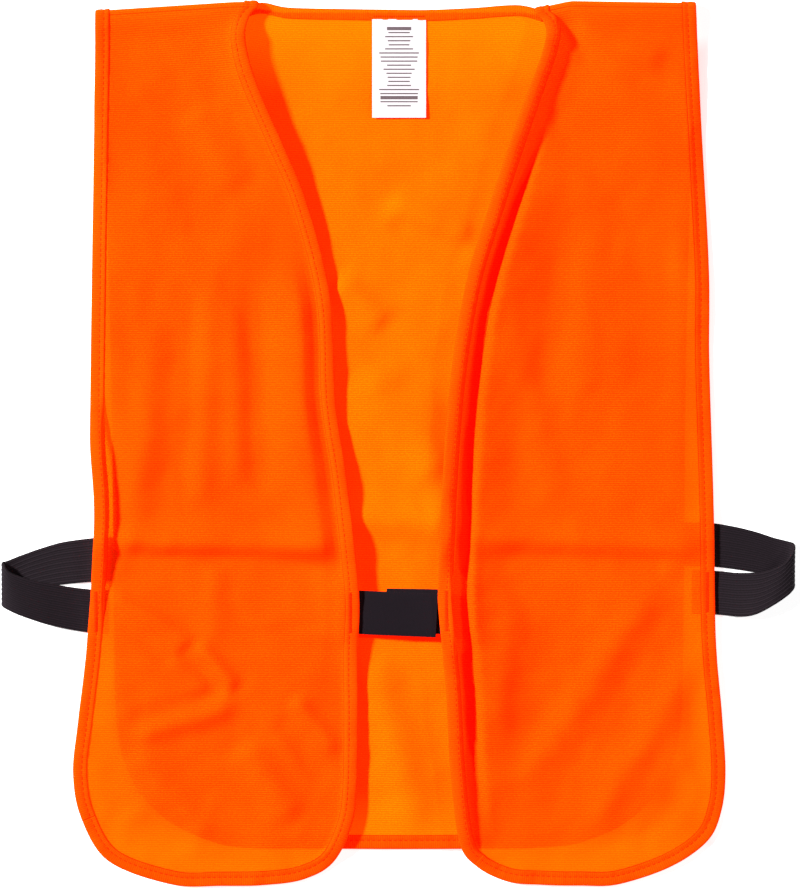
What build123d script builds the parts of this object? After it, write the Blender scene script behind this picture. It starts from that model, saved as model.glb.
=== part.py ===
from build123d import *
import os

# A child's blaze orange safety vest, lying flat with its front side up.
# +X is the wearer's left, +Y points to the shoulders, +Z comes up out of the front.
# The vest rests on z = 0, and the frame's origin is the middle of its outline on that plane.
# Right and left are the wearer's. All sizes are millimetres.

# Cloth, edge bindings and the heights of the two layers
CLOTH = 0.6
BINDING_THICKNESS = 1.5
BINDING_WIDTH = 8.0
NECK_BINDING_WIDTH = 6.0
EDGE_INSET = 2.0  # how far the cloth's raw edge stays inside the fold of its binding
FRONT_LEVEL = 6.0  # underside of the fronts' bindings
FRONT_CLOTH_LEVEL = FRONT_LEVEL + (BINDING_THICKNESS - CLOTH) / 2
CLEARANCE = 0.4  # between cloth of two bodies, at a fold

# Shoulders and back
SHOULDER_Y = 251.5
SHOULDER_FOLD_RADIUS = (FRONT_LEVEL + BINDING_THICKNESS) / 2
SHOULDER_CLOTH = 1.0
BLANK_TOP = 290.0  # the outlines run on past the shoulders and are cut there
EDGE_STEPS = 32  # points along an edge from which its bindings and seams are drawn
BACK_HEM_Y = -233.5
BACK_CORNER_TOP_Y = -163.0
NECK_RIGHT_X = -84.0
NECK_LEFT_X = 80.0
NECK_DIP = 1.2
NECK_CUT_HEIGHT = 4.0  # cloth taken off above the neckline

# The shoulder seams run between these X
RIGHT_SEAM_X = (-173.5, -88.5)
LEFT_SEAM_X = (88.5, 172.5)

# Fold lines about which the fronts turn open: neck point, then the lower outer corner
RIGHT_FOLD = ((-95.0, 254.0), (-178.0, -226.0))
LEFT_FOLD = ((95.0, 254.0), (181.0, -226.0))

# On each front, the hem's binding meets the front edge's at the lower inner corner, and
# the armhole's binding lies outside ARMHOLE_X
RIGHT_HEM_CORNER = (-40.0, -240.0)
LEFT_HEM_CORNER = (48.0, -240.0)
ARMHOLE_X = 130.0

# Side elastics
ELASTIC_WIDTH = 25.4
ELASTIC_THICKNESS = 1.5
ELASTIC_BEND_RADIUS = SHOULDER_FOLD_RADIUS
ELASTIC_TURN_X = 223.6  # where the bends begin, on both sides
RIGHT_ELASTIC_TURN_Y = -79.0
RIGHT_ELASTIC_BACK_END = (-163.4, -64.5)
RIGHT_ELASTIC_FRONT_END = (-179.4, -97.0)
LEFT_ELASTIC_TURN_Y = -70.0
LEFT_ELASTIC_BACK_END = (166.4, -57.0)
LEFT_ELASTIC_FRONT_END = (184.0, -85.5)

# Hook-and-loop closure
TAPE_WIDTH = 25.4
TAPE_THICKNESS = 0.8
TAPE_GAP = 0.3  # between the two tapes
LOOP_TAPE_LENGTH = 43.0
LOOP_TAPE_CENTRE = (0.8, -97.3)
LOOP_TAPE_TILT = -3.0
LOOP_TAPE_LEVEL = FRONT_LEVEL + TAPE_GAP
HOOK_TAPE_LENGTH = 37.0
HOOK_TAPE_CENTRE = (12.5, -96.0)

# Care label
LABEL_WIDTH = 31.0
LABEL_LENGTH = 56.0
LABEL_THICKNESS = 0.3
LABEL_CENTRE_X = 1.2
LABEL_TOP_Y = 243.2
LABEL_LEVEL = 0.9
LABEL_STITCHING_CENTRE = (LABEL_CENTRE_X, 246.6)

# Bar tacks: short bars of dense thread that hold the elastics and the tapes
FRONT_TOP = FRONT_LEVEL + BINDING_THICKNESS
TACK_HEIGHT = 0.4
TACK_WIDTH = 2.4
TACK_LENGTH = 23.4
TACKS = (  # name, centre, and the level of the surface it is sewn to
    ("right_elastic_back_tack", (-166.5, -64.5), BINDING_THICKNESS),
    ("left_elastic_back_tack", (169.5, -57.0), BINDING_THICKNESS),
    ("right_elastic_front_tack", (-173.5, -97.0), FRONT_TOP),
    ("left_elastic_front_tack", (178.6, -85.5), FRONT_TOP),
    ("closure_loop_tack", (-26.9, -97.3), FRONT_TOP),
    ("closure_hook_tack", (28.2, -96.0), FRONT_TOP),
)

os.makedirs("parts", exist_ok=True)


def write(piece, name):
    """Label a finished piece and write its STEP file."""
    piece.part.label = name
    export_step(piece.part, f"parts/{name}.step")


def beside(edge, distance):
    """A spline that runs along the left of an edge, at a steady distance from it."""
    points = []
    for step in range(EDGE_STEPS + 1):
        along = edge % (step / EDGE_STEPS)
        points.append(edge @ (step / EDGE_STEPS) + distance * Vector(-along.Y, along.X))
    return Spline(*points)


def outline(right_edge, left_edge, inset, top):
    """A panel's outline, from its two edges listed from the shoulder down to the hem.

    It is drawn in by inset at the edges and the hem, and cut straight across at the shoulder.
    """
    down = Spline(*right_edge)
    up = Spline(*reversed(left_edge))
    with BuildSketch() as panel:
        with BuildLine():
            inner_down = beside(down, inset)
            inner_up = beside(up, inset)
            Line(inner_down @ 1, inner_up @ 0)
            Line(inner_up @ 1, inner_down @ 0)
        make_face()
        with Locations((0, top)):
            Rectangle(2 * BLANK_TOP, BLANK_TOP, align=(Align.CENTER, Align.MIN), mode=Mode.SUBTRACT)
    return panel.sketch


def edge_band(shape, width, top):
    """The strip of the given width along a panel's edges, open at the shoulder."""
    with BuildSketch() as band:
        add(outline(**shape, inset=0, top=top))
        add(outline(**shape, inset=width, top=top), mode=Mode.SUBTRACT)
    return band.sketch


def fold_plane(fold, outward):
    """Upright plane along a fold line, facing the front edge; outward is -1 on the right, 1 on the left."""
    (x0, y0), (x1, y1) = fold
    along = Vector(x1 - x0, y1 - y0, 0).normalized()
    return Plane(origin=(x0, y0, 0), z_dir=Vector(outward * along.Y, -outward * along.X, 0))


RIGHT_SHAPE = dict(
    right_edge=(
        (-173.8, BLANK_TOP),
        (-174.6, 160),
        (-176.0, 10),
        (-174.3, -50),
        (-178.6, -115),
        (-186.3, -185),
        (-175.5, -229),
        (-129.0, -255),
    ),
    left_edge=(
        (-89.0, BLANK_TOP),
        (-87.0, 243),
        (-67.0, 173.5),
        (-38.7, 83),
        (-30.6, -20),
        (-22.6, -105),
        (-23.1, -200),
        (-37.0, -243),
        (-74.0, -255),
    ),
)
LEFT_SHAPE = dict(
    right_edge=(
        (89.0, BLANK_TOP),
        (86.0, 225),
        (65.2, 153),
        (42.0, 83),
        (29.4, -20),
        (24.2, -95),
        (31.0, -190),
        (45.5, -243),
        (84.0, -255),
    ),
    left_edge=(
        (172.0, BLANK_TOP),
        (176.5, 160),
        (181.0, 10),
        (182.8, -100),
        (189.4, -187),
        (178.0, -230),
        (126.0, -255),
    ),
)
BACK_SHAPE = dict(
    right_edge=(
        (-173.8, BLANK_TOP),
        (-168.5, 170),
        (-164.0, 20),
        (-163.0, -90),
        (-161.0, BACK_CORNER_TOP_Y),
        (-140.0, -212),
        (-85.0, BACK_HEM_Y),
    ),
    left_edge=(
        (172.0, BLANK_TOP),
        (168.8, 170),
        (166.0, 20),
        (165.3, -90),
        (163.5, BACK_CORNER_TOP_Y),
        (141.0, -212),
        (78.0, BACK_HEM_Y),
    ),
)


def neck_strip(top_drop, width):
    """The strip of the given width under the back neckline, starting top_drop below it."""
    top = SHOULDER_Y - top_drop
    middle_x = (NECK_RIGHT_X + NECK_LEFT_X) / 2
    with BuildSketch() as strip:
        with BuildLine():
            upper = ThreePointArc((NECK_RIGHT_X, top), (middle_x, top - NECK_DIP), (NECK_LEFT_X, top))
            lower = ThreePointArc(
                (NECK_RIGHT_X, top - width), (middle_x, top - width - NECK_DIP), (NECK_LEFT_X, top - width)
            )
            Line(upper @ 0, lower @ 0)
            Line(upper @ 1, lower @ 1)
        make_face()
    return strip.sketch


with BuildPart() as back_panel:
    with BuildSketch():
        add(outline(**BACK_SHAPE, inset=EDGE_INSET, top=SHOULDER_Y))
        add(neck_strip(-NECK_CUT_HEIGHT, NECK_CUT_HEIGHT + EDGE_INSET), mode=Mode.SUBTRACT)
    extrude(amount=CLOTH)
write(back_panel, "back_panel")

with BuildPart() as back_neck_binding:
    with BuildSketch():
        add(neck_strip(0, NECK_BINDING_WIDTH))
    extrude(amount=BINDING_THICKNESS)
    add(back_panel.part, mode=Mode.SUBTRACT)
write(back_neck_binding, "back_neck_binding")

with BuildPart() as back_edge:
    with BuildSketch():
        add(edge_band(BACK_SHAPE, BINDING_WIDTH, SHOULDER_Y))
    extrude(amount=BINDING_THICKNESS)
    add(back_panel.part, mode=Mode.SUBTRACT)

corner_plane = Plane(origin=(0, BACK_CORNER_TOP_Y, 0), z_dir=(0, 1, 0))
with BuildPart() as back_hem_binding:
    add(back_edge.part)
    split(bisect_by=corner_plane, keep=Keep.BOTTOM)
write(back_hem_binding, "back_hem_binding")

with BuildPart() as back_right_side_binding:
    add(back_edge.part)
    split(bisect_by=corner_plane, keep=Keep.TOP)
    split(bisect_by=Plane.YZ, keep=Keep.BOTTOM)
write(back_right_side_binding, "back_right_side_binding")

with BuildPart() as back_left_side_binding:
    add(back_edge.part)
    split(bisect_by=corner_plane, keep=Keep.TOP)
    split(bisect_by=Plane.YZ, keep=Keep.TOP)
write(back_left_side_binding, "back_left_side_binding")


# Shoulder seams: the cloth turns over here, from the back up to the front
def shoulder_seam(x_start, x_end):
    """A half-round fold of cloth from the back's level up to the fronts'."""
    end = Plane(origin=(x_start, SHOULDER_Y, SHOULDER_FOLD_RADIUS), x_dir=(0, 1, 0), z_dir=(1, 0, 0))
    with BuildPart() as seam:
        with BuildSketch(end):
            Circle(SHOULDER_FOLD_RADIUS)
            Circle(SHOULDER_FOLD_RADIUS - SHOULDER_CLOTH, mode=Mode.SUBTRACT)
            Rectangle(
                SHOULDER_FOLD_RADIUS,
                2 * SHOULDER_FOLD_RADIUS,
                align=(Align.MIN, Align.CENTER),
                mode=Mode.INTERSECT,
            )
        extrude(amount=x_end - x_start)
    return seam


right_shoulder_seam = shoulder_seam(*RIGHT_SEAM_X)
write(right_shoulder_seam, "right_shoulder_seam")
left_shoulder_seam = shoulder_seam(*LEFT_SEAM_X)
write(left_shoulder_seam, "left_shoulder_seam")


# Fronts: each is one panel of cloth that turns open about a slanting fold, so it is written as
# the strip that stays beside the shoulder and the side, and the flap that turns
def front_pieces(name, shape, fold, outward, corner):
    """Write the cloth and bindings of one front.

    outward is -1 on the right and 1 on the left; corner is the lower inner corner.
    """
    top = SHOULDER_Y - CLEARANCE
    flap_side = fold_plane(fold, outward).offset(CLEARANCE / 2)
    strip_side = fold_plane(fold, outward).offset(-CLEARANCE / 2)
    mitre = Plane(origin=(corner[0], corner[1], 0), z_dir=Vector(-outward, 1, 0))

    with BuildPart() as whole_panel:
        with BuildSketch(Plane.XY.offset(FRONT_CLOTH_LEVEL)):
            add(outline(**shape, inset=EDGE_INSET, top=top))
        extrude(amount=CLOTH)

    with BuildPart() as whole_binding:
        with BuildSketch(Plane.XY.offset(FRONT_LEVEL)):
            add(edge_band(shape, BINDING_WIDTH, top))
        extrude(amount=BINDING_THICKNESS)
        add(whole_panel.part, mode=Mode.SUBTRACT)

    with BuildPart() as side_panel:
        add(whole_panel.part)
        split(bisect_by=strip_side, keep=Keep.BOTTOM)
    write(side_panel, f"{name}_front_side_panel")

    with BuildPart() as flap_panel:
        add(whole_panel.part)
        split(bisect_by=flap_side, keep=Keep.TOP)
    write(flap_panel, f"{name}_front_panel")

    with BuildPart() as armhole_binding:
        add(whole_binding.part)
        split(bisect_by=strip_side, keep=Keep.BOTTOM)
        split(bisect_by=Plane(origin=(outward * ARMHOLE_X, 0, 0), z_dir=(outward, 0, 0)), keep=Keep.TOP)
    write(armhole_binding, f"{name}_armhole_binding")

    with BuildPart() as front_binding:
        add(whole_binding.part)
        split(bisect_by=flap_side, keep=Keep.TOP)
        split(bisect_by=mitre, keep=Keep.TOP)
    write(front_binding, f"{name}_front_binding")

    with BuildPart() as hem_binding:
        add(whole_binding.part)
        split(bisect_by=flap_side, keep=Keep.TOP)
        split(bisect_by=mitre, keep=Keep.BOTTOM)
    write(hem_binding, f"{name}_hem_binding")


front_pieces("right", RIGHT_SHAPE, RIGHT_FOLD, outward=-1, corner=RIGHT_HEM_CORNER)
front_pieces("left", LEFT_SHAPE, LEFT_FOLD, outward=1, corner=LEFT_HEM_CORNER)


# Side elastics: a ribbed band that leaves the back's edge, turns over and comes back to the front's
def side_elastic(back_end, front_end, turn_x, turn_y):
    """back_end and front_end are the middles of the band's ends, turn_x where its bend begins."""
    half = ELASTIC_WIDTH / 2
    outward = 1 if turn_x > 0 else -1
    bend = Plane(
        origin=(turn_x, turn_y - half, ELASTIC_BEND_RADIUS),
        x_dir=(outward, 0, 0),
        z_dir=(0, 1, 0),
    )

    with BuildPart() as elastic:
        for level, (end_x, end_y) in ((0, back_end), (FRONT_LEVEL, front_end)):
            with BuildSketch(Plane.XY.offset(level)):
                with BuildLine():
                    Polyline(
                        (end_x, end_y + half),
                        (turn_x, turn_y + half),
                        (turn_x, turn_y - half),
                        (end_x, end_y - half),
                        close=True,
                    )
                make_face()
            extrude(amount=ELASTIC_THICKNESS)
        with BuildSketch(bend):
            Circle(ELASTIC_BEND_RADIUS)
            Circle(ELASTIC_BEND_RADIUS - ELASTIC_THICKNESS, mode=Mode.SUBTRACT)
            Rectangle(
                ELASTIC_BEND_RADIUS,
                2 * ELASTIC_BEND_RADIUS,
                align=(Align.MIN, Align.CENTER),
                mode=Mode.INTERSECT,
            )
        extrude(amount=ELASTIC_WIDTH)
    return elastic


right_side_elastic = side_elastic(
    back_end=RIGHT_ELASTIC_BACK_END,
    front_end=RIGHT_ELASTIC_FRONT_END,
    turn_x=-ELASTIC_TURN_X,
    turn_y=RIGHT_ELASTIC_TURN_Y,
)
write(right_side_elastic, "right_side_elastic")
left_side_elastic = side_elastic(
    back_end=LEFT_ELASTIC_BACK_END,
    front_end=LEFT_ELASTIC_FRONT_END,
    turn_x=ELASTIC_TURN_X,
    turn_y=LEFT_ELASTIC_TURN_Y,
)
write(left_side_elastic, "left_side_elastic")


# Bar tacks
def tack(centre, length, level, turned=90.0):
    """A bar of thread on a surface at the given level; turned 90 runs it along Y."""
    with BuildPart() as bar:
        with BuildSketch(Plane.XY.offset(level)):
            with Locations(Location(centre, turned)):
                SlotOverall(length, TACK_WIDTH)
        extrude(amount=TACK_HEIGHT)
    return bar


for tack_name, tack_centre, tack_level in TACKS:
    write(tack(tack_centre, TACK_LENGTH, tack_level), tack_name)

# Closure: the hook tape is sewn under the left front's edge and the loop tape laps over it
with BuildPart() as closure_loop_tape:
    with BuildSketch(Plane.XY.offset(LOOP_TAPE_LEVEL)):
        with Locations(Location(LOOP_TAPE_CENTRE, LOOP_TAPE_TILT)):
            Rectangle(LOOP_TAPE_LENGTH, TAPE_WIDTH)
    extrude(amount=TAPE_THICKNESS)
write(closure_loop_tape, "closure_loop_tape")

with BuildPart() as closure_hook_tape:
    with BuildSketch(Plane.XY.offset(FRONT_LEVEL - TAPE_THICKNESS)):
        with Locations(HOOK_TAPE_CENTRE):
            Rectangle(HOOK_TAPE_LENGTH, TAPE_WIDTH)
    extrude(amount=TAPE_THICKNESS)
write(closure_hook_tape, "closure_hook_tape")

# Care label, hanging from the back neck binding
with BuildPart() as care_label:
    with BuildSketch(Plane.XY.offset(LABEL_LEVEL)):
        with Locations((LABEL_CENTRE_X, LABEL_TOP_Y)):
            Rectangle(LABEL_WIDTH, LABEL_LENGTH, align=(Align.CENTER, Align.MAX))
    extrude(amount=LABEL_THICKNESS)
write(care_label, "care_label")

# The label's stitching runs along X, through the neck binding
care_label_stitching = tack(LABEL_STITCHING_CENTRE, LABEL_WIDTH, BINDING_THICKNESS, turned=0.0)
write(care_label_stitching, "care_label_stitching")
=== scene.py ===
import math
import random

import bmesh
import bpy
import numpy as np
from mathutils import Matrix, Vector, noise
from mathutils.bvhtree import BVHTree
from mathutils.geometry import delaunay_2d_cdt


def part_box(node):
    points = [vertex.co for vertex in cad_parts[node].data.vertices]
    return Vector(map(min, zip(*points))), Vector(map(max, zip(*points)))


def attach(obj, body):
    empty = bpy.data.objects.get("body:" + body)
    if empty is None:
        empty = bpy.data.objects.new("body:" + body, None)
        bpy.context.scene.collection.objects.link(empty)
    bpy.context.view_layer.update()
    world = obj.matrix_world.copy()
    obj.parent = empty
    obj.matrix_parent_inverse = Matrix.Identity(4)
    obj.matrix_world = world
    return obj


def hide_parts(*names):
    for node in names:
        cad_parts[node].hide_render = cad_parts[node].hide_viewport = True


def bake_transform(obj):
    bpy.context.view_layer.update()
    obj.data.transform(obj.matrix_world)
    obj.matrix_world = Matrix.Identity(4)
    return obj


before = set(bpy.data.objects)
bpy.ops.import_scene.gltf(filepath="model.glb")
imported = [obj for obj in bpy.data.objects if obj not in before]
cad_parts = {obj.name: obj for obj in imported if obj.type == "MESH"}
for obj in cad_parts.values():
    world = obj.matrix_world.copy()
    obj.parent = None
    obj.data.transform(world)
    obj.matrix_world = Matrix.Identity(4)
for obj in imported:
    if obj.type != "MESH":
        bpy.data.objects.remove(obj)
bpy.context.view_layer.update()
MM = 0.001

# ---------------------------------------------------------------- sizes, in millimetres
DRAPE_SPACING = 5.5  # of the cloth's vertices while it settles
SPACING = 2.7  # of the finished fronts' vertices
BACK_SPACING = 3.6
# Distances from a bound edge of the rows of vertices that run along it
DRAPE_ROWS = (0.0, 4.0, 8.1)
BACK_ROWS = (0.0, 2.7, 5.4, 8.1)
ROWS = (0.0, 2.0, 4.0, 6.0, 8.1, 9.3, 12.6, 16.6, 18.8)
NECK_ROWS = (0.0, 2.1, 4.2, 6.4)
BOUND = 8.1  # the row under the binding's inner edge
RAISED = 9.0  # how far in from its edge a front stands up with its binding
CLOTH = 0.4
BACK_LEVEL = 0.7
FOLD_RADIUS = 3.3
FOLD_MIDDLE = 4.0  # height of the middle of the shoulder folds
FRONT_TOP_LEVEL = FOLD_MIDDLE + FOLD_RADIUS
FRONT_GAP = 1.4  # between the back and a front
FRONT_EDGE_GAP = 2.4
CEILING = 15.6  # the highest that a front's cloth stands
CLOSURE_Y = -97
STITCH_PITCH = 3.1
STITCH_LENGTH = 2.3
STITCH_INSET = 5.0
NECK_STITCH_INSET = 4.9
RIB_PERIOD = 1.27
ELASTIC_WIDTH = 25.4
ELASTIC_THICKNESS = 1.3
LOOP_TAPE_WIDTH = 25.0
LOOP_TAPE_THICKNESS = 1.0
HOOK_TAPE_WIDTH = 25.6
HOOK_TAPE_THICKNESS = 0.8
LABEL_WIDTH = 31.0
LABEL_THICKNESS = 0.3
PRINT_LINES = 20
PRINT_PITCH = 2.35
THICK_LINES = (0, 17)
TACK_LENGTH = 23.4
SETTLE_FRAMES = 14
# Angles of the rows round a shoulder fold: above 0 from the front down, below 0 from the back up
BACK_CURL = (-12, -24, -36)
FRONT_CURL = (15, 32, 50, 68, 86, 105, 124, 144)


def box_mm(node):
    low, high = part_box(node)
    return [c / MM for c in low], [c / MM for c in high]


TOP = box_mm("right_front_side_panel")[1][1]  # the shoulder line

# Edges of the three panels, from shoulder to shoulder, anticlockwise seen from above
RIGHT_EDGE = (
    (-173.6, TOP), (-174.4, 187), (-176.0, 83), (-176.6, 8), (-173.9, -44), (-178.4, -112),
    (-183.8, -160), (-186.8, -190), (-182.0, -216), (-166.0, -241), (-130.0, -254.2), (-102.0, -255.0),
    (-74.5, -254.4), (-53.0, -251.0), (-36.5, -241.0), (-26.0, -219), (-23.0, -196), (-22.4, -157),
    (-22.6, -120), (-22.0, -84), (-28.8, -20), (-35.2, 24), (-38.0, 83), (-51.5, 138), (-66.0, 173.5),
    (-81.0, 208), (-86.2, 226), (-87.0, 237), (-84.6, 246), (-80.0, TOP),
)
LEFT_EDGE = (
    (79.5, TOP), (84.0, 246), (85.8, 238), (83.2, 226), (75.6, 205), (66.0, 176), (52.0, 133), (41.0, 97),
    (34.0, 60), (29.6, 24), (26.4, -20), (23.8, -79), (24.2, -98), (28.3, -142), (30.8, -187), (36.0, -229),
    (45.6, -243.5), (63.5, -252.5), (84.0, -254.4), (105.0, -254.8), (128.0, -254.0), (158.2, -243.6),
    (179.0, -229), (187.0, -212), (189.4, -190), (187.5, -158), (183.6, -110), (182.2, -27),
    (180.0, 48), (179.6, 104), (175.2, 187), (172.0, TOP),
)
BACK_EDGE = (
    (-173.4, TOP), (-170.6, 200), (-166.8, 120), (-164.4, 20), (-163.2, -90), (-161.6, -160), (-153.0, -193),
    (-134.0, -216), (-108.0, -229), (-85.0, -233.2), (-40.0, -233.6), (0.0, -233.8), (40.0, -233.6),
    (78.0, -233.2), (106.0, -230), (134.0, -217), (154.5, -194), (163.6, -160), (165.3, -90), (166.2, 20),
    (168.2, 120), (170.2, 200), (171.8, TOP),
)
NECK = (-78.0, 76.0)  # the back's neckline runs between these


# ---------------------------------------------------------------- curves
def spline(a, b, c, d, t):
    """A point on the smooth curve from b to c, with its neighbours a and d."""
    return 0.5 * (2 * b + (c - a) * t + (2 * a - 5 * b + 4 * c - d) * t**2 + (3 * b - a - 3 * c + d) * t**3)


def with_ends(p):
    """Points with one more before the first and after the last, in line with them."""
    return np.vstack([2 * p[0] - p[1], p, 2 * p[-1] - p[-2]])


def run_of(path):
    """Length of a path up to each of its points."""
    return np.r_[0, np.cumsum(np.linalg.norm(np.diff(path, axis=0), axis=1))]


def even_path(points, step):
    """Points at even steps along a smooth curve through the given ones."""
    p = with_ends(np.array(points, float))
    shares = np.linspace(0, 1, 24, endpoint=False)
    curve = [spline(a, b, c, d, t) for a, b, c, d in zip(p[:-3], p[1:-2], p[2:-1], p[3:]) for t in shares]
    curve = np.array(curve + [p[-2]])
    run = run_of(curve)
    at = np.linspace(0, run[-1], int(round(run[-1] / step)) + 1)
    return np.column_stack([np.interp(at, run, curve[:, k]) for k in range(p.shape[1])])


def left_normals(path):
    """Unit normals to the left of a flat path; level at its two ends, which lie on the shoulder line."""
    along = np.gradient(path, axis=0)
    along /= np.linalg.norm(along, axis=1)[:, None]
    normals = np.column_stack([-along[:, 1], along[:, 0]])
    level = np.zeros_like(normals)
    half = len(path) // 2
    level[:half, 0] = 1 if normals[0, 0] > 0 else -1
    level[half:, 0] = 1 if normals[-1, 0] > 0 else -1
    near_top = step_up(path[:, 1], TOP - 26, TOP - 6)[:, None]
    normals = normals * (1 - near_top) + level * near_top
    return normals / np.linalg.norm(normals, axis=1)[:, None]


def wave(x, y, size, seed):
    """Smooth random unevenness, about -1 to 1."""
    return np.array([2 * noise.noise(Vector((a / size + seed, b / size - seed, seed))) for a, b in zip(x, y)])


def ridge(x, y, start, end, width, height, fade=0.25):
    """A long soft ridge (or valley, below 0) from start to end, which dies away at both."""
    s, e = np.array(start, float), np.array(end, float)
    d = e - s
    length = np.linalg.norm(d)
    d /= length
    along = ((x - s[0]) * d[0] + (y - s[1]) * d[1]) / length
    across = -(x - s[0]) * d[1] + (y - s[1]) * d[0]
    ends = np.clip(along / fade + 0.5, 0, 1) * np.clip((1 - along) / fade + 0.5, 0, 1)
    ends = ends * ends * (3 - 2 * ends)
    return height * ends * np.exp(-((across / width) ** 2))


def step_up(value, low, high):
    t = np.clip((value - low) / (high - low), 0, 1)
    return t * t * (3 - 2 * t)


def between(value, low, full, high, fall):
    """1 from full on, dying away down to low, and over the last stretch before high."""
    return step_up(value, low, full) * step_up(high - value, 0, fall)


# ---------------------------------------------------------------- height of the cloth at rest
def edge_distance(x, y, path):
    """Distance of each point from a path."""
    best = np.full(len(x), 1e9)
    for px, py in path:
        best = np.minimum(best, np.hypot(x - px, y - py))
    return best


def back_height(x, y):
    z = BACK_LEVEL + 0.6 * (1 + wave(x, y, 80, 3.1))
    z += ridge(x, y, (-60, 120), (-10, -60), 22, 1.2)
    z += ridge(x, y, (20, 60), (60, -90), 20, 1.0)
    return z


def front_height(x, y, outer, inner, unevenness, rise, reach):
    """A front before it settles: higher along its inner edge, lower along its armhole."""
    z = 5.0 + 0.9 * unevenness
    z += rise * np.exp(-((edge_distance(x, y, inner) / reach) ** 2)) * step_up(250 - y, 0, 60)
    return z - 3.4 * np.exp(-((edge_distance(x, y, outer) / 14) ** 2)) * step_up(245 - y, 0, 50)


def right_height(x, y):
    z = front_height(x, y, RIGHT_OUTER, RIGHT_INNER, wave(x, y, 70, 1.7), 5.0, 16)
    return z + ridge(x, y, (-150, 225), (-100, 150), 14, 1.2)


def left_height(x, y):
    return front_height(x, y, LEFT_OUTER, LEFT_INNER, wave(x, y, 75, 7.3), 5.2, 12)


# Creases and soft folds: from, to, half width, height (below 0 for a valley)
BACK_FOLDS = (
    ((-34, 92), (-8, 70), 9, 3.6), ((-2, 128), (38, 110), 8, -2.0), ((-2, 138), (40, 120), 9, 3.4),
    ((-36, -42), (32, -46), 10, 5.0), ((-14, 40), (20, -20), 14, 3.2), ((-12, -130), (12, -222), 12, 3.6),
    ((14, 30), (28, -60), 9, 2.3),
)
RIGHT_FOLDS = (
    ((-166, -56), (-36, -60), 8, 5.6), ((-160, -66), (-40, -70), 8, -4.0),
    ((-168, -76), (-128, -58), 5, 1.2), ((-166, -86), (-120, -114), 5, 2.6),
    ((-164, -98), (-132, -126), 4.5, -2.2), ((-122, -118), (-102, -143), 5, -4.2),
    ((-114, -116), (-94, -140), 5, 3.0), ((-102, -144), (-150, -158), 5, -3.8),
    ((-96, -152), (-148, -168), 6, 2.9), ((-66, -160), (-42, -194), 5, -3.6),
    ((-58, -148), (-36, -176), 5, 3.0), ((-88, -176), (-60, -214), 9, 3.0),
    ((-120, 85), (-128, -36), 9, -3.6), ((-108, 90), (-112, -30), 9, 2.5), ((-82, 84), (-78, -24), 8, -3.6),
    ((-94, 80), (-92, -20), 8, 2.2), ((-140, 60), (-150, -40), 9, 2.6), ((-104, -70), (-106, -112), 8, 2.1),
    ((-140, 200), (-108, 120), 12, -2.2), ((-118, 190), (-92, 150), 10, 1.8),
    ((-150, -180), (-110, -226), 10, 2.6),
)
LEFT_FOLDS = (
    ((94, 247), (112, 221), 5.5, -3.9), ((110, 223), (154, 206), 7, -3.3), ((104, 238), (150, 220), 8, 2.9),
    ((48, -54), (176, -60), 8, 4.0), ((46, -66), (172, -72), 8, -3.1), ((162, -100), (94, -206), 9, -3.5),
    ((146, -88), (76, -190), 9, 2.5), ((174, -120), (112, -222), 8, 2.1), ((96, 110), (84, 30), 10, -2.0),
    ((112, 120), (104, 10), 11, 2.0), ((66, -90), (58, -160), 9, 2.0), ((150, 120), (146, 0), 12, -1.7),
    ((128, 170), (88, 190), 9, -1.5), ((70, 60), (92, -40), 11, 1.8),
)


def folded(x, y, z, folds, seed):
    """Cloth with its soft folds, and a fine unevenness."""
    z = z + 0.65 * wave(x, y, 30, seed) + 0.18 * wave(x, y, 11, seed + 3)
    for start, end, width, height in folds:
        z += ridge(x, y, start, end, width, height)
    return z


RIGHT_PATH = even_path(RIGHT_EDGE, SPACING)
LEFT_PATH = even_path(LEFT_EDGE, SPACING)
BACK_PATH = even_path(BACK_EDGE, BACK_SPACING)
RIGHT_OUTER = RIGHT_PATH[: int(0.56 * len(RIGHT_PATH))]
RIGHT_INNER = RIGHT_PATH[np.argmax((RIGHT_PATH[:, 0] > -62) & (RIGHT_PATH[:, 1] < -200)):]
LEFT_INNER = LEFT_PATH[: np.argmax((LEFT_PATH[:, 0] > 68) & (LEFT_PATH[:, 1] < -200))]
LEFT_OUTER = LEFT_PATH[int(0.46 * len(LEFT_PATH)):]


# Stretches along the body, as between takes them: low, full, high, and how long it takes to die away
NECK_RISE = (110, 190, 250, 16)  # both inner edges stand up beside the neck
ROLLED = (-84, -50, 118, 45)  # the right front rolls down to its binding
TURNED_UP = (-116, -60, 36, 50)  # the right armhole edge turns up
GROOVE = (-238, -150, 190, 75)  # beside the left front's binding
GROOVE_BOTTOM = (7.9, 9.1, 19.4, 2.4)  # the same across the groove, in from the edge
GROOVE_LEVEL = 2.4
HEM_TURN = (-248, -224)  # where an inner edge turns into the hem, and stands up no more


def bump_at(distance, width):
    """1 at 0, dying away smoothly over about twice the width."""
    return np.exp(-((distance / width) ** 2))


def back_detail(x, y, z):
    """The back's settled cloth with its folds, never below its own level."""
    return np.maximum(folded(x, y, z, BACK_FOLDS, 5.2), BACK_LEVEL)


def risen_edge(y, inner, height, neck_height):
    """How far an inner edge stands up: most beside the neck, little where the closure holds it down."""
    free = 1 - bump_at(y - CLOSURE_Y, 24)
    edge = height * free * step_up(y, *HEM_TURN) * step_up(RAISED - inner, 0, 3.0)
    neck = neck_height * between(y, *NECK_RISE) * bump_at(inner, 14)
    return edge + neck


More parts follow.
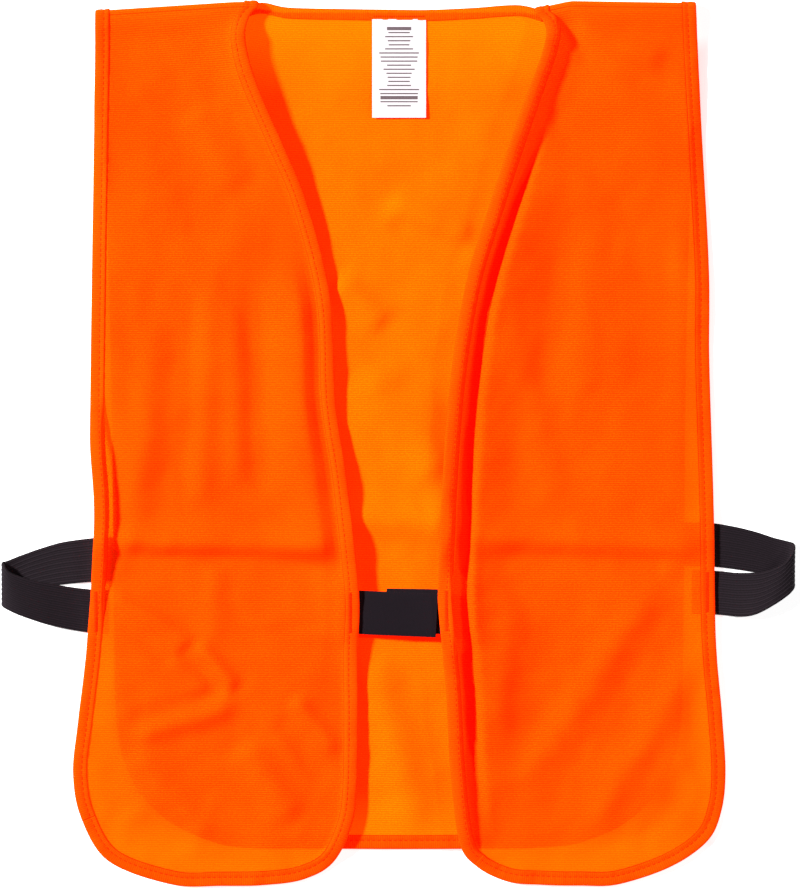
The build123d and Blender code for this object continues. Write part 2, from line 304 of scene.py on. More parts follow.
def right_detail(x, y, z):
    """The right front: its inner edge rolls down to the binding, its armhole edge turns up at the waist."""
    z = folded(x, y, z, RIGHT_FOLDS, 8.1)
    inner = edge_distance(x, y, RIGHT_INNER)
    z = z + risen_edge(y, inner, 3.6, 5.5)
    roll = between(y, *ROLLED)
    z = z + 5.8 * roll * np.clip((inner - RAISED) / 9.0, 0, 1) * bump_at(np.maximum(inner - 18, 0), 20)
    outer = edge_distance(x, y, RIGHT_OUTER)
    turned = between(y, *TURNED_UP)
    z = z + 7.5 * turned * step_up(RAISED - outer, 0, 3.0) - 1.6 * turned * bump_at(outer - 13.5, 4.5)
    pinch = bump_at(y - CLOSURE_Y, 26)
    return np.minimum(z - 2.6 * pinch * bump_at(inner - 14, 4), CEILING)


def left_detail(x, y, z):
    """The left front: the binding of its inner edge stands up, and a narrow groove runs beside it."""
    z = folded(x, y, z, LEFT_FOLDS, 2.6)
    inner = edge_distance(x, y, LEFT_INNER)
    z = z + risen_edge(y, inner, 4.6, 4.0)
    groove = between(y, *GROOVE)
    z = z + 5.8 * groove * step_up(inner, 16.8, 19.0) * bump_at(np.maximum(inner - 19, 0), 19)
    z = z + 2.4 * groove * step_up(RAISED - inner, 0, 1.5)
    bottom = groove * between(inner, *GROOVE_BOTTOM)
    return np.minimum(z * (1 - bottom) + GROOVE_LEVEL * bottom, CEILING)


# ---------------------------------------------------------------- cloth panels
def inside(points, loop):
    """Which points lie inside a closed loop."""
    x, y = points[:, 0], points[:, 1]
    result = np.zeros(len(points), bool)
    for (x0, y0), (x1, y1) in zip(loop, np.roll(loop, -1, axis=0)):
        if y0 == y1:
            continue
        crosses = (y0 > y) != (y1 > y)
        result ^= crosses & (x < (x1 - x0) * (y - y0) / (y1 - y0) + x0)
    return result


def grid_inside(loop, spacing):
    """Points of an even triangular grid inside a closed loop, clear of its edge."""
    low, high = loop.min(axis=0), loop.max(axis=0)
    grid = []
    for j, y in enumerate(np.arange(low[1], high[1], spacing * 0.866)):
        for x in np.arange(low[0] + (spacing / 2 if j % 2 else 0), high[0], spacing):
            grid.append((x, y))
    grid = np.array(grid)
    grid = grid[inside(grid, loop)]
    return grid[edge_distance(grid[:, 0], grid[:, 1], loop) > 0.62 * spacing]


def inner_room(path):
    """How far the inner rows may spread, from 0 to 1: less in tight corners, where they would cross."""
    along = np.gradient(path, axis=0)
    heading = np.unwrap(np.arctan2(along[:, 1], along[:, 0]))
    turn = np.convolve(np.gradient(heading), np.ones(5) / 5, mode="same")
    step = np.linalg.norm(along, axis=1)
    radius = step / np.maximum(turn, 1e-4)
    room = np.clip((0.52 * radius - BOUND) / (ROWS[-1] - BOUND), 0.12, 1)
    room = np.array([room[max(0, i - 5): i + 6].min() for i in range(len(room))])
    padded = np.pad(room, 5, mode="edge")
    return np.convolve(padded, np.ones(11) / 11, mode="valid")


class Panel:
    """A cut piece of cloth: flat points, faces, and the rows of vertices along its bound edge."""

    def __init__(self, path, height, top_level, curl, spacing, rows):
        self.rows = list(rows)
        normals = left_normals(path)
        n = len(path)
        room = inner_room(path)
        rails = [path + (min(s, BOUND) + max(s - BOUND, 0) * room)[:, None] * normals for s in rows]
        for rail in rails:
            rail[:, 1] = np.minimum(rail[:, 1], TOP)
            rail[0, 1] = rail[-1, 1] = TOP
        across = max(2, int(round(abs(rails[-1][-1, 0] - rails[-1][0, 0]) / spacing)))
        top_x = np.linspace(rails[-1][0, 0], rails[-1][-1, 0], across + 1)[1:-1]
        top = np.column_stack([top_x, np.full(len(top_x), TOP)])
        loop = np.vstack([rails[-1], top[::-1]])
        boundary = len(loop)
        points = np.vstack([loop, grid_inside(loop, spacing)])
        edges = [(i, (i + 1) % boundary) for i in range(boundary)]
        found, _, faces, origins, _, _ = delaunay_2d_cdt([Vector(p) for p in points], edges, [], 1, 1e-6)
        origin = [o[0] for o in origins]
        flat = list(map(tuple, np.vstack(rails[:-1])))
        offset = len(flat)
        flat += list(map(tuple, points))
        self.faces = [tuple(offset + origin[v] for v in f) for f in faces]
        rail_index = [[k * n + i for i in range(n)] for k in range(len(rows) - 1)]
        rail_index.append([offset + i for i in range(n)])
        for k in range(len(rows) - 1):
            for i in range(n - 1):
                a, b = rail_index[k], rail_index[k + 1]
                self.faces.append((a[i], a[i + 1], b[i + 1], b[i]))
        flat = np.array(flat)
        near_top = step_up(flat[:, 1], TOP - 15, TOP)
        z = height(flat[:, 0], flat[:, 1]) * (1 - near_top) + top_level * near_top
        self.flat = [tuple(p) for p in flat]
        self.points = [tuple(p) for p in np.column_stack([flat, z])]
        top_row = [rail_index[k][0] for k in range(len(rows))]
        top_row += [offset + boundary - 1 - i for i in range(len(top_x))]
        top_row += [rail_index[k][-1] for k in reversed(range(len(rows)))]
        self.rails = rail_index
        self.top_row = top_row
        self.curl(top_row, curl)

    def curl(self, top_row, angles):
        """Carry the shoulder line on round the fold: angles in degrees, above 0 from the top down."""
        self.curls = []
        previous = top_row
        for angle in angles:
            a = math.radians(abs(angle))
            side = 1 if angle > 0 else -1
            row = []
            for i in top_row:
                x, _, _ = self.points[i]
                if NECK[0] - 2 < x < NECK[1] + 2 and side < 0:
                    row.append(None)
                    continue
                self.points.append(
                    (x, TOP + FOLD_RADIUS * math.sin(a), FOLD_MIDDLE + side * FOLD_RADIUS * math.cos(a))
                )
                self.flat.append((x, TOP + FOLD_RADIUS * a))
                row.append(len(self.points) - 1)
            for p, q, r, s in zip(previous[:-1], previous[1:], row[1:], row[:-1]):
                if None not in (p, q, r, s):
                    self.faces.append((p, q, r, s))
            self.curls.append(row)
            previous = row
        for k in range(len(self.rows)):
            self.rails[k] = (
                [row[k] for row in reversed(self.curls)]
                + self.rails[k]
                + [row[len(top_row) - 1 - k] for row in self.curls]
            )

    def area(self):
        """Flat area in square metres."""
        total = 0.0
        p = np.array(self.flat)
        for f in self.faces:
            q = p[list(f)]
            x, y = q[:, 0], q[:, 1]
            total += 0.5 * abs(np.dot(x, np.roll(y, -1)) - np.dot(y, np.roll(x, -1)))
        return total * MM * MM

    def rail_points(self):
        p = np.array(self.points)
        return [p[r] for r in self.rails]


def new_object(name, points, faces, uv=None, material=None):
    """A mesh object from points in millimetres; uv gives each vertex its place on the flat cloth."""
    mesh = bpy.data.meshes.new(name)
    mesh.from_pydata([Vector(p) * MM for p in points], [], faces)
    mesh.update()
    if uv is not None:
        layer = mesh.uv_layers.new(name="flat")
        loops = np.zeros(len(mesh.loops), np.int32)
        mesh.loops.foreach_get("vertex_index", loops)
        layer.data.foreach_set("uv", (np.array(uv, float)[loops] * MM).ravel())
    for polygon in mesh.polygons:
        polygon.use_smooth = True
    if material is not None:
        mesh.materials.append(material)
    thing = bpy.data.objects.new(name, mesh)
    bpy.context.scene.collection.objects.link(thing)
    return thing


def apply_modifiers(thing):
    """Replace the mesh by what its modifiers make of it, and remove them."""
    graph = bpy.context.evaluated_depsgraph_get()
    mesh = bpy.data.meshes.new_from_object(thing.evaluated_get(graph))
    thing.modifiers.clear()
    old = thing.data
    thing.data = mesh
    bpy.data.meshes.remove(old)


def surface(points, faces):
    return BVHTree.FromPolygons([tuple(p) for p in points], faces)


def height_on(tree, x, y, default=0.0):
    """Height of a surface at a place, seen from above."""
    hit = tree.ray_cast(Vector((x, y, 100.0)), Vector((0, 0, -1)))
    return default if hit[0] is None else hit[0].z


def draped_height(tree):
    """Height of a settled cloth at each of many places; past its edge, that of its nearest place."""

    def height(x, y):
        z = []
        for a, b in zip(x, y):
            found = height_on(tree, a, b, None)
            z.append(tree.find_nearest(Vector((a, b, 4.0)))[0].z if found is None else found)
        return np.array(z)

    return height


CLOTH_SETTINGS = {
    "quality": 8,
    "mass": 0.12,
    "tension_stiffness": 15,
    "compression_stiffness": 15,
    "shear_stiffness": 8,
    "bending_stiffness": 0.6,
    "tension_damping": 12,
    "compression_damping": 12,
    "bending_damping": 1.5,
    "air_damping": 2.0,
}


def settle(panel, name, obstacles, pinned):
    """Let a panel settle under its own weight, and give back its smoothed surface."""
    thing = new_object(name + "_settling", panel.points, panel.faces)
    group = thing.vertex_groups.new(name="pin")
    group.add(sorted(pinned), 1.0, "REPLACE")
    cloth = thing.modifiers.new("Cloth", "CLOTH")
    for setting, value in CLOTH_SETTINGS.items():
        setattr(cloth.settings, setting, value)
    cloth.settings.vertex_group_mass = "pin"
    cloth.settings.effector_weights.gravity = 0.35
    cloth.collision_settings.distance_min = 0.9 * MM
    cloth.collision_settings.collision_quality = 3
    cloth.point_cache.frame_start = 1
    cloth.point_cache.frame_end = SETTLE_FRAMES
    for obstacle in obstacles:
        obstacle.modifiers.new("Collision", "COLLISION")
        obstacle.collision.thickness_outer = 0.6 * MM
    for number in range(1, SETTLE_FRAMES + 1):
        bpy.context.scene.frame_set(number)
    smooth = thing.modifiers.new("Subdivision", "SUBSURF")
    smooth.levels = 2
    graph = bpy.context.evaluated_depsgraph_get()
    result = thing.evaluated_get(graph).data
    co = np.zeros(3 * len(result.vertices))
    result.vertices.foreach_get("co", co)
    faces = [tuple(polygon.vertices) for polygon in result.polygons]
    tree = surface(co.reshape(-1, 3) / MM, faces)
    mesh = thing.data
    bpy.data.objects.remove(thing)
    bpy.data.meshes.remove(mesh)
    for obstacle in obstacles:
        obstacle.modifiers.clear()
    bpy.context.scene.frame_set(1)
    return tree


# ---------------------------------------------------------------- edge bindings and stitches
# Section of a folded binding: distance from its fold, and height above (or below) the cloth's middle
BINDING_TOP = (
    (8.05, 0.1), (8.0, 0.72), (7.6, 0.94), (6.6, 0.9), (5.6, 0.72), (5.0, 0.5), (4.4, 0.7), (3.4, 0.88),
    (1.6, 0.84), (0.5, 0.66), (-0.1, 0.3),
)


def rail_frames(rails):
    """For rails that run side by side: the up direction at each place along them."""
    along = np.gradient(rails[0], axis=0)
    inward = rails[-1] - rails[0]
    up = np.cross(along, inward)
    up /= np.linalg.norm(up, axis=1)[:, None]
    return np.where((up[:, 2] < 0)[:, None] & (np.abs(up[:, 2]) > 0.5)[:, None], -up, up)


def across_rails(rails, distance, widths):
    """The point at a distance in from the first rail, all along the rails."""
    distance_in = max(distance, 0.0)
    k = min(int(np.searchsorted(widths, distance_in, side="right")) - 1, len(widths) - 2)
    t = (distance_in - widths[k]) / (widths[k + 1] - widths[k])
    place = rails[k] * (1 - t) + rails[k + 1] * t
    if distance < 0:
        outward = rails[0] - rails[1]
        outward /= np.linalg.norm(outward, axis=1)[:, None]
        place = place - distance * outward
    return place


def refine(rails, parts):
    """Put parts - 1 smooth places between each two places of the rails."""
    n = len(rails[0])
    at = np.linspace(0, n - 1, parts * (n - 1) + 1)
    i = np.clip(at.astype(int), 0, n - 2)
    t = (at - i)[:, None]
    return [spline(p[i], p[i + 1], p[i + 2], p[i + 3], t) for p in map(with_ends, rails)]


def tube_faces(rings, sides):
    """Faces of a closed band of rings, with both its ends."""
    faces = []
    for i in range(rings - 1):
        for j in range(sides):
            k = (j + 1) % sides
            faces.append((i * sides + j, (i + 1) * sides + j, (i + 1) * sides + k, i * sides + k))
    faces.append(tuple(range(sides)))
    faces.append(tuple((rings - 1) * sides + j for j in reversed(range(sides))))
    return faces


def binding_object(name, rails, widths, material, scale=1.0, seed=0.0):
    """A folded binding round the edge that the rails follow, with small puckers along the stitching."""
    rails = refine(rails, 3)
    up = rail_frames(rails)
    run = run_of(rails[0])
    pucker = np.array([noise.noise(Vector((a / 4.2, seed, 0.0))) for a in run])
    profile = [(s * scale, h) for s, h in BINDING_TOP]
    section = profile + [(s, -h) for s, h in reversed(profile)]
    rings = []
    for s, h in section:
        swell = 1 + 0.35 * pucker * (0.3 + 0.7 * min(max(s, 0) / 6.0, 1.0))
        rings.append(across_rails(rails, s, widths) + up * (h * swell)[:, None])
    sides = len(section)
    points = np.stack(rings, axis=1).reshape(-1, 3)
    across = [s if j < sides // 2 else -s - 1 for j, (s, _) in enumerate(section)]
    uv = [(a, b) for a in run for b in across]
    thing = new_object(name, points, tube_faces(len(run), sides), uv=uv, material=material)
    fix_normals(thing)
    return thing


def fix_normals(thing):
    """Turn every face outwards."""
    work = bmesh.new()
    work.from_mesh(thing.data)
    bmesh.ops.recalc_face_normals(work, faces=work.faces)
    work.to_mesh(thing.data)
    work.free()


def row_of_stitches(path, up):
    """Start, end and up direction of each stitch of a row along a path."""
    run = run_of(path)

    def at(distance, values):
        return np.array([np.interp(distance, run, values[:, k]) for k in range(3)])

    starts = np.arange(STITCH_PITCH * 0.2, run[-1] - STITCH_LENGTH * 0.8, STITCH_PITCH)
    return [(at(s, path), at(s + STITCH_LENGTH, path), at(s + STITCH_LENGTH / 2, up)) for s in starts]


# A stitch's rings: share of its length, share of its full width, and height
STITCH_RINGS = (
    (0.0, 0.3, -0.16), (0.15, 0.85, 0.06), (0.5, 1.0, 0.14), (0.85, 0.85, 0.06), (1.0, 0.3, -0.16),
)


def thread_object(name, segments, width=0.5):
    """Short rounded bars of thread that dip into the cloth at both ends."""
    points, faces = [], []
    sides = 6
    for start, end, up in segments:
        first = len(points)
        up = up / np.linalg.norm(up)
        side = np.cross(end - start, up)
        side /= np.linalg.norm(side)
        for t, fat, lift in STITCH_RINGS:
            for corner in range(sides):
                angle = math.tau * corner / sides
                points.append(
                    start * (1 - t) + end * t
                    + side * (width / 2 * fat * math.cos(angle))
                    + up * (lift + width / 2 * fat * math.sin(angle))
                )
        for ring in range(len(STITCH_RINGS) - 1):
            for corner in range(sides):
                a = first + ring * sides + corner
                b = first + ring * sides + (corner + 1) % sides
                faces.append((a, b, b + sides, a + sides))
        faces.append(tuple(first + c for c in reversed(range(sides))))
        faces.append(tuple(first + (len(STITCH_RINGS) - 1) * sides + c for c in range(sides)))
    thing = new_object(name, points, faces, material=THREAD_MATERIAL)
    fix_normals(thing)
    return thing


# ---------------------------------------------------------------- materials
class Nodes:
    """A material's node tree, with short ways to add and join nodes."""

    def __init__(self, name):
        self.material = bpy.data.materials.new(name)
        self.material.use_nodes = True
        self.tree = self.material.node_tree
        self.tree.nodes.clear()

    def add(self, kind, values=None, **settings):
        node = self.tree.nodes.new("ShaderNode" + kind)
        for key, value in settings.items():
            setattr(node, key, value)
        for key, value in (values or {}).items():
            if isinstance(value, bpy.types.NodeSocket):
                self.tree.links.new(value, node.inputs[key])
            else:
                node.inputs[key].default_value = value
        return node

    def math(self, operation, first, second=0.0):
        return self.add("Math", {0: first, 1: second}, operation=operation).outputs[0]

    def flat(self):
        """The two directions on the flat cloth, in metres."""
        uv = self.add("UVMap", uv_map="flat").outputs[0]
        parts = self.add("SeparateXYZ", {0: uv})
        return uv, parts.outputs[0], parts.outputs[1]

    def ribs(self, direction, period):
        """Even waves, -1 to 1, of the given period in millimetres."""
        return self.math("SINE", self.math("MULTIPLY", direction, math.tau / (period * MM)))

    def noise(self, vector, scale, detail=2.0):
        return self.add("TexNoise", {"Vector": vector, "Scale": scale, "Detail": detail}).outputs["Fac"]

    def scaled(self, value, low, high, out_low=0.0, out_high=1.0):
        """A value mapped from one range to another, and kept inside it."""
        ranges = {"From Min": low, "From Max": high, "To Min": out_low, "To Max": out_high}
        return self.add("MapRange", {"Value": value, **ranges}).outputs["Result"]

    def finish(self, shader):
        self.add("OutputMaterial", {"Surface": shader})
        return self.material

    def tinted(self, tone, dark, light):
        """Colour between dark (where the tone is 0) and light (where it is 1)."""
        return self.add("Mix", {0: tone, 6: (*dark, 1), 7: (*light, 1)}, data_type="RGBA").outputs[2]

    def bump(self, height, strength, depth):
        """Normals of a relief, its depth in millimetres."""
        values = {"Strength": strength, "Distance": depth * MM, "Height": height}
        return self.add("Bump", values).outputs[0]

    def mixed(self, share, first, second):
        """Two shaders, the second by the given share."""
        return self.add("MixShader", {0: share, 1: first, 2: second}).outputs[0]

    def clear(self, colour):
        return self.add("BsdfTransparent", {"Color": (*colour, 1.0)}).outputs[0]


# Painted light: a red glow, emitted whatever the lamps do, that keeps shaded cloth and thread red
PAINTED_RED_GLOW = {"Emission Color": (1.0, 0.0, 0.0, 1.0)}
# Painted shadow: a dark red line along a binding's inner edge, where the groove beside it lies in shade
SHADOW_LINE_AT = 7.75  # the dark line along a binding's inner edge
SHADOW_LINE_COLOUR = (0.75, 0.012, 0.0, 1)


def orange_cloth(name, dark, light, see_through, ribbed="across", painted_shadow_line=False):
    """Fluorescent knit: fine ribs, a painted red glow that keeps its shade red, and light through a single
    layer.
    """
    n = Nodes(name)
    uv, along, across = n.flat()
    rib = n.ribs(across if ribbed == "across" else along, RIB_PERIOD)
    grain = n.noise(uv, 1100.0, 3.0)
    cloud = n.noise(uv, 14.0, 3.0)
    knit = n.math("MULTIPLY", rib, 0.5)
    coarse = n.math("ADD", n.math("MULTIPLY", grain, 2.6), cloud)
    tone = n.math("ADD", n.math("MULTIPLY", knit, 0.9), coarse)
    colour = n.tinted(n.scaled(tone, 1.35, 2.5), dark, light)
    # Painted shadow: past this distance across the binding the colour turns dark red
    if painted_shadow_line:
        inner = n.math("GREATER_THAN", n.math("ABSOLUTE", across), SHADOW_LINE_AT * MM)
        colour = n.add("Mix", {0: inner, 6: colour, 7: SHADOW_LINE_COLOUR}, data_type="RGBA").outputs[2]
    bump = n.bump(n.math("ADD", knit, n.math("MULTIPLY", grain, 0.8)), 0.65, 0.18)
    # The emission below is painted light: a red glow that keeps the cloth's shade red
    skin = n.add(
        "BsdfPrincipled",
        {
            "Base Color": colour,
            "Roughness": 0.9,
            "Specular IOR Level": 0.02,
            "Sheen Weight": 0.02,
            "Sheen Roughness": 0.5,
            "Sheen Tint": (1.0, 0.3, 0.0, 1.0),
            "Emission Strength": 0.85,
            "Normal": bump,
            **PAINTED_RED_GLOW,
        },
    ).outputs[0]
    through = n.add("BsdfTranslucent", {"Color": (0.9, 0.2, 0.0, 1.0), "Normal": bump}).outputs[0]
    open_share = n.scaled(rib, -1.0, 1.0, see_through * 1.15, see_through * 0.85)
    cloth = n.mixed(open_share, n.mixed(0.2, skin, through), n.clear((1.0, 0.42, 0.0)))
    # Only a cloth's outer faces count: the inner sides of its two skins are clear
    back_side = n.add("NewGeometry").outputs["Backfacing"]
    return n.finish(n.mixed(back_side, cloth, n.clear((1.0, 1.0, 1.0))))


def plain_fibre(name, dark, light, roughness, period, slant=0.0, bump_depth=0.2, sheen=0.2):
    """Woven or knitted band: fine lines along or at a slant, with a little fuzz."""
    n = Nodes(name)
    uv, along, across = n.flat()
    line = n.ribs(n.math("ADD", n.math("MULTIPLY", along, slant), across), period)
    cross = n.ribs(along, 0.8)
    grain = n.noise(uv, 1800.0, 3.0)
    fine = n.math("ADD", n.math("MULTIPLY", cross, 0.1), grain)
    tone = n.scaled(n.math("ADD", n.math("MULTIPLY", line, 0.25), fine), 0.2, 0.95)
    return n.finish(
        n.add(
            "BsdfPrincipled",
            {
                "Base Color": n.tinted(tone, dark, light),
                "Roughness": roughness,
                "Specular IOR Level": 0.2,
                "Sheen Weight": sheen,
                "Sheen Roughness": 0.4,
                "Normal": n.bump(tone, 0.6, bump_depth),
            },
        ).outputs[0]
    )


def thread(name, colour):
    n = Nodes(name)
    values = {"Base Color": (*colour, 1), "Roughness": 0.8, "Specular IOR Level": 0.03}
    # Painted light: the thread glows red too, so its shade stays red
    return n.finish(n.add("BsdfPrincipled", {**values, **PAINTED_RED_GLOW, "Emission Strength": 0.8}).outputs[0])


# Painted light: the floor's glow, faint under the vest and strong away from it
PAINTED_FLOOR_GLOW = (0.1, 0.8)  # under the vest and away from it


def white_floor():
    """A pale floor with a painted glow: faint where it lies under the vest, strong away from it, where it
    washes out the vest's shadows.
    """
    n = Nodes("white_floor")
    place = n.add("SeparateXYZ", {0: n.add("TexCoord").outputs["Object"]})
    across = n.scaled(n.math("ABSOLUTE", place.outputs[0]), 0.15, 0.185)
    along = n.scaled(n.math("ABSOLUTE", place.outputs[1]), 0.2, 0.235)
    values = {
        "Base Color": (0.93, 0.93, 0.93, 1),
        "Roughness": 1.0,
        "Specular IOR Level": 0.0,
        "Emission Color": (1.0, 1.0, 1.0, 1.0),
        "Emission Strength": n.scaled(n.math("MAXIMUM", across, along), 0.0, 1.0, *PAINTED_FLOOR_GLOW),
    }
    return n.finish(n.add("BsdfPrincipled", values).outputs[0])


CLOTH_MATERIAL = orange_cloth("orange_knit", (0.84, 0.073, 0.0), (0.96, 0.15, 0.0), 0.13)
# Painted light: the back is the same knit as the fronts, coloured lighter for the floor's light through its
# single layer
BACK_PAINTED_LIGHT_MATERIAL = orange_cloth("orange_knit_back", (0.84, 0.14, 0.0), (0.96, 0.245, 0.0), 0.08)
BINDING_MATERIAL = orange_cloth(
    "orange_binding", (0.85, 0.068, 0.0), (0.95, 0.11, 0.0), 0.04, ribbed="along", painted_shadow_line=True
)
THREAD_MATERIAL = thread("orange_thread", (0.85, 0.035, 0.0))
ELASTIC_MATERIAL = plain_fibre(
    "black_elastic", (0.003, 0.001, 0.002), (0.02, 0.011, 0.018), 0.8, 1.4, sheen=0.02
)
TAPE_MATERIAL = plain_fibre(
    "black_tape", (0.002, 0.001, 0.002), (0.015, 0.007, 0.014), 0.9, 1.0, slant=1.0, sheen=0.02
)
LABEL_MATERIAL = plain_fibre("white_satin", (0.8, 0.74, 0.77), (0.9, 0.86, 0.88), 0.4, 0.5, bump_depth=0.05)
PRINT_MATERIAL = plain_fibre("grey_print", (0.12, 0.08, 0.09), (0.2, 0.15, 0.17), 0.6, 0.5, bump_depth=0.02)

# ---------------------------------------------------------------- the stage
FLOOR_HALF = 2500
floor_corners = [(x * FLOOR_HALF, y * FLOOR_HALF, 0) for x, y in ((-1, -1), (1, -1), (1, 1), (-1, 1))]
floor = new_object("floor", floor_corners, [(0, 1, 2, 3)], material=white_floor())

# ---------------------------------------------------------------- cloth
def held_vertices(panel, spots):
    """Vertices that stay put while the cloth settles: the shoulder fold, and those near the given spots."""
    held = set(panel.top_row)
    for row in panel.curls:
        held |= {i for i in row if i is not None}
    for i, (x, y, _) in enumerate(panel.points):
        if any(math.hypot(x - a, y - b) < reach for a, b, reach in spots):
            held.add(i)
    return held


def raise_over(panel, tree, things):
    """Keep a front above the back, the floor and the bands under it, then smooth what was raised."""
    p = np.array(panel.points)
    rails = {i for rail in panel.rails[: panel.rows.index(BOUND) + 1] for i in rail}
    need = np.full(len(p), -100.0)
    for i, (x, y, z) in enumerate(p):
        if y > TOP - 2:
            continue
        below = height_on(tree, x, y, None)
        space = FRONT_EDGE_GAP if i in rails else FRONT_GAP
        need[i] = (0.0 if below is None else below) + (0.55 * space if below is None else space)
        for x0, x1, y0, y1, level in things:
            away = math.hypot(max(x0 - x, 0, x - x1), max(y0 - y, 0, y - y1))
            if away < BAND_REACH:
                need[i] = max(need[i], level * (1 - (away / BAND_REACH) ** 2))
    lift = np.maximum(need - p[:, 2], 0)
    near = [set() for _ in p]
    for f in panel.faces:
        for a in f:
            near[a].update(f)
    for _ in range(6):
        smooth = np.array([np.mean([lift[b] for b in group]) for group in near])
        lift = np.maximum(smooth, np.maximum(need - p[:, 2], 0))
    p[:, 2] += lift
    panel.points = [tuple(q) for q in p]


# Where the shoulder line is shifted, and by how much
SLOPE_AT = (-174, -95, -82, -70, 68, 79, 87, 100, 172)
SLOPE = (-5.3, -0.2, 0.2, -2.5, -2.5, -4.0, -2.4, 0.4, -0.7)
SLOPE_STARTS = 150  # below this the panels aren't shifted


def slope_shoulders(panel):
    """The fold isn't square to the middle: it drops at the right armhole and on both sides of the neck."""
    p = np.array(panel.points)
    p[:, 1] += np.interp(p[:, 0], SLOPE_AT, SLOPE) * step_up(p[:, 1], SLOPE_STARTS, TOP)
    panel.points = [tuple(q) for q in p]


# Bands under the fronts: x from, x to, y from, y to, level that the cloth must stay above
RIGHT_BANDS = ((-182, -164, -109, -84, 3.6), (-176, -159, -81, -54, 4.0), (-30, -20, -110, -84, 9.2))
LEFT_BANDS = ((166, 186, -98, -73, 3.6), (160, 178, -71, -45, 4.6), (24, 32, -110, -83, 10.0))
BAND_REACH = 14  # how far beside a band the cloth still rests on it
# Spots where the closure and the elastics hold a front: x, y and reach
RIGHT_HELD = ((-26, -97, 14), (-176, -97, 13))
LEFT_HELD = ((28, -96, 14), (181, -85, 13))


def make_panel(name, edge, path, heights, detail, obstacles, held):
    """Settle a coarse copy of a panel, then build the fine one on it with its details."""
    if name == "back":
        level, curl, spacing, rows = BACK_LEVEL, BACK_CURL, BACK_SPACING, BACK_ROWS
    else:
        level, curl, spacing, rows = FRONT_TOP_LEVEL, FRONT_CURL, SPACING, ROWS
    coarse = Panel(even_path(edge, DRAPE_SPACING), heights, level, curl, DRAPE_SPACING, DRAPE_ROWS)
    settled = draped_height(settle(coarse, name, obstacles, held_vertices(coarse, held)))
    return Panel(path, lambda x, y: detail(x, y, settled(x, y)), level, curl, spacing, rows)


back = make_panel("back", BACK_EDGE, BACK_PATH, back_height, back_detail, [floor], ())
back_collider = new_object("back_collider", back.points, back.faces)
under = [floor, back_collider]
right = make_panel("right", RIGHT_EDGE, RIGHT_PATH, right_height, right_detail, under, RIGHT_HELD)
left = make_panel("left", LEFT_EDGE, LEFT_PATH, left_height, left_detail, under, LEFT_HELD)
bpy.data.objects.remove(back_collider)
back_tree = surface(back.points, back.faces)
raise_over(right, back_tree, RIGHT_BANDS)
raise_over(left, back_tree, LEFT_BANDS)
for panel in (back, right, left):
    slope_shoulders(panel)
back_tree = surface(back.points, back.faces)


def split_panel(panel):
    """The faces before the fold, and those that go round it."""
    curled = {i for row in panel.curls for i in row if i is not None}
    body = [f for f in panel.faces if not curled.intersection(f)]
    fold = [f for f in panel.faces if curled.intersection(f)]
    return body, fold


def part_of(panel, faces):
    """Points, faces and flat points of some of a panel's faces."""
    used = sorted({i for f in faces for i in f})
    number = {v: k for k, v in enumerate(used)}
    return (
        [panel.points[i] for i in used],
        [tuple(number[i] for i in f) for f in faces],
        [panel.flat[i] for i in used],
    )


def sheet_object(panel, name, faces, material):
    """The finished cloth, with its real thickness."""
    points, own_faces, flat = part_of(panel, faces)
    thing = new_object(name, points, own_faces, uv=flat)
    solid = thing.modifiers.new("Solidify", "SOLIDIFY")
    solid.thickness = CLOTH * MM
    solid.offset = 0.0
    solid.use_quality_normals = True
    apply_modifiers(thing)
    thing.data.materials.append(material)
    for polygon in thing.data.polygons:
        polygon.use_smooth = True
    return thing


right_body, right_fold = split_panel(right)
left_body, left_fold = split_panel(left)
back_sheet = sheet_object(back, "back_sheet", back.faces, BACK_PAINTED_LIGHT_MATERIAL)
right_sheet = sheet_object(right, "right_front_sheet", right_body, CLOTH_MATERIAL)
left_sheet = sheet_object(left, "left_front_sheet", left_body, CLOTH_MATERIAL)
right_fold_sheet = sheet_object(right, "right_shoulder_fold", right_fold, CLOTH_MATERIAL)
left_fold_sheet = sheet_object(left, "left_shoulder_fold", left_fold, CLOTH_MATERIAL)

# ---------------------------------------------------------------- bindings
RING = len(FRONT_CURL)


def stretch_of(panel, first, last):
    """The panel's rails between two places, counted along the bound edge."""
    return [rail[first:last] for rail in panel.rail_points()]


def place_on(panel, x, y):
    """How far along the bound edge the place nearest to x, y is."""
    edge = panel.rail_points()[0]
    away = np.hypot(edge[:, 0] - x, edge[:, 1] - y) + (edge[:, 1] > TOP + 1) * 50
    return int(np.argmin(away))


made = {}


def topstitch(name, rails, widths, inset):
    """The stitches near a binding's inner edge, on its upper and on its lower face."""
    for side, word in ((1, "upper"), (-1, "lower")):
        up = rail_frames(rails) * side
        path = across_rails(rails, inset, widths) + up * 0.5
        made[f"{name}_{word}_stitches"] = thread_object(f"{name}_{word}_stitches", row_of_stitches(path, up))


def bind(name, panel, first, last, seed):
    """A length of binding, with its topstitching on both faces."""
    count = panel.rows.index(BOUND) + 1
    rails = stretch_of(panel, first, last)[:count]
    widths = panel.rows[:count]
    made[name] = binding_object(name, rails, widths, BINDING_MATERIAL, seed=seed)
    topstitch(name, rails, widths, STITCH_INSET)


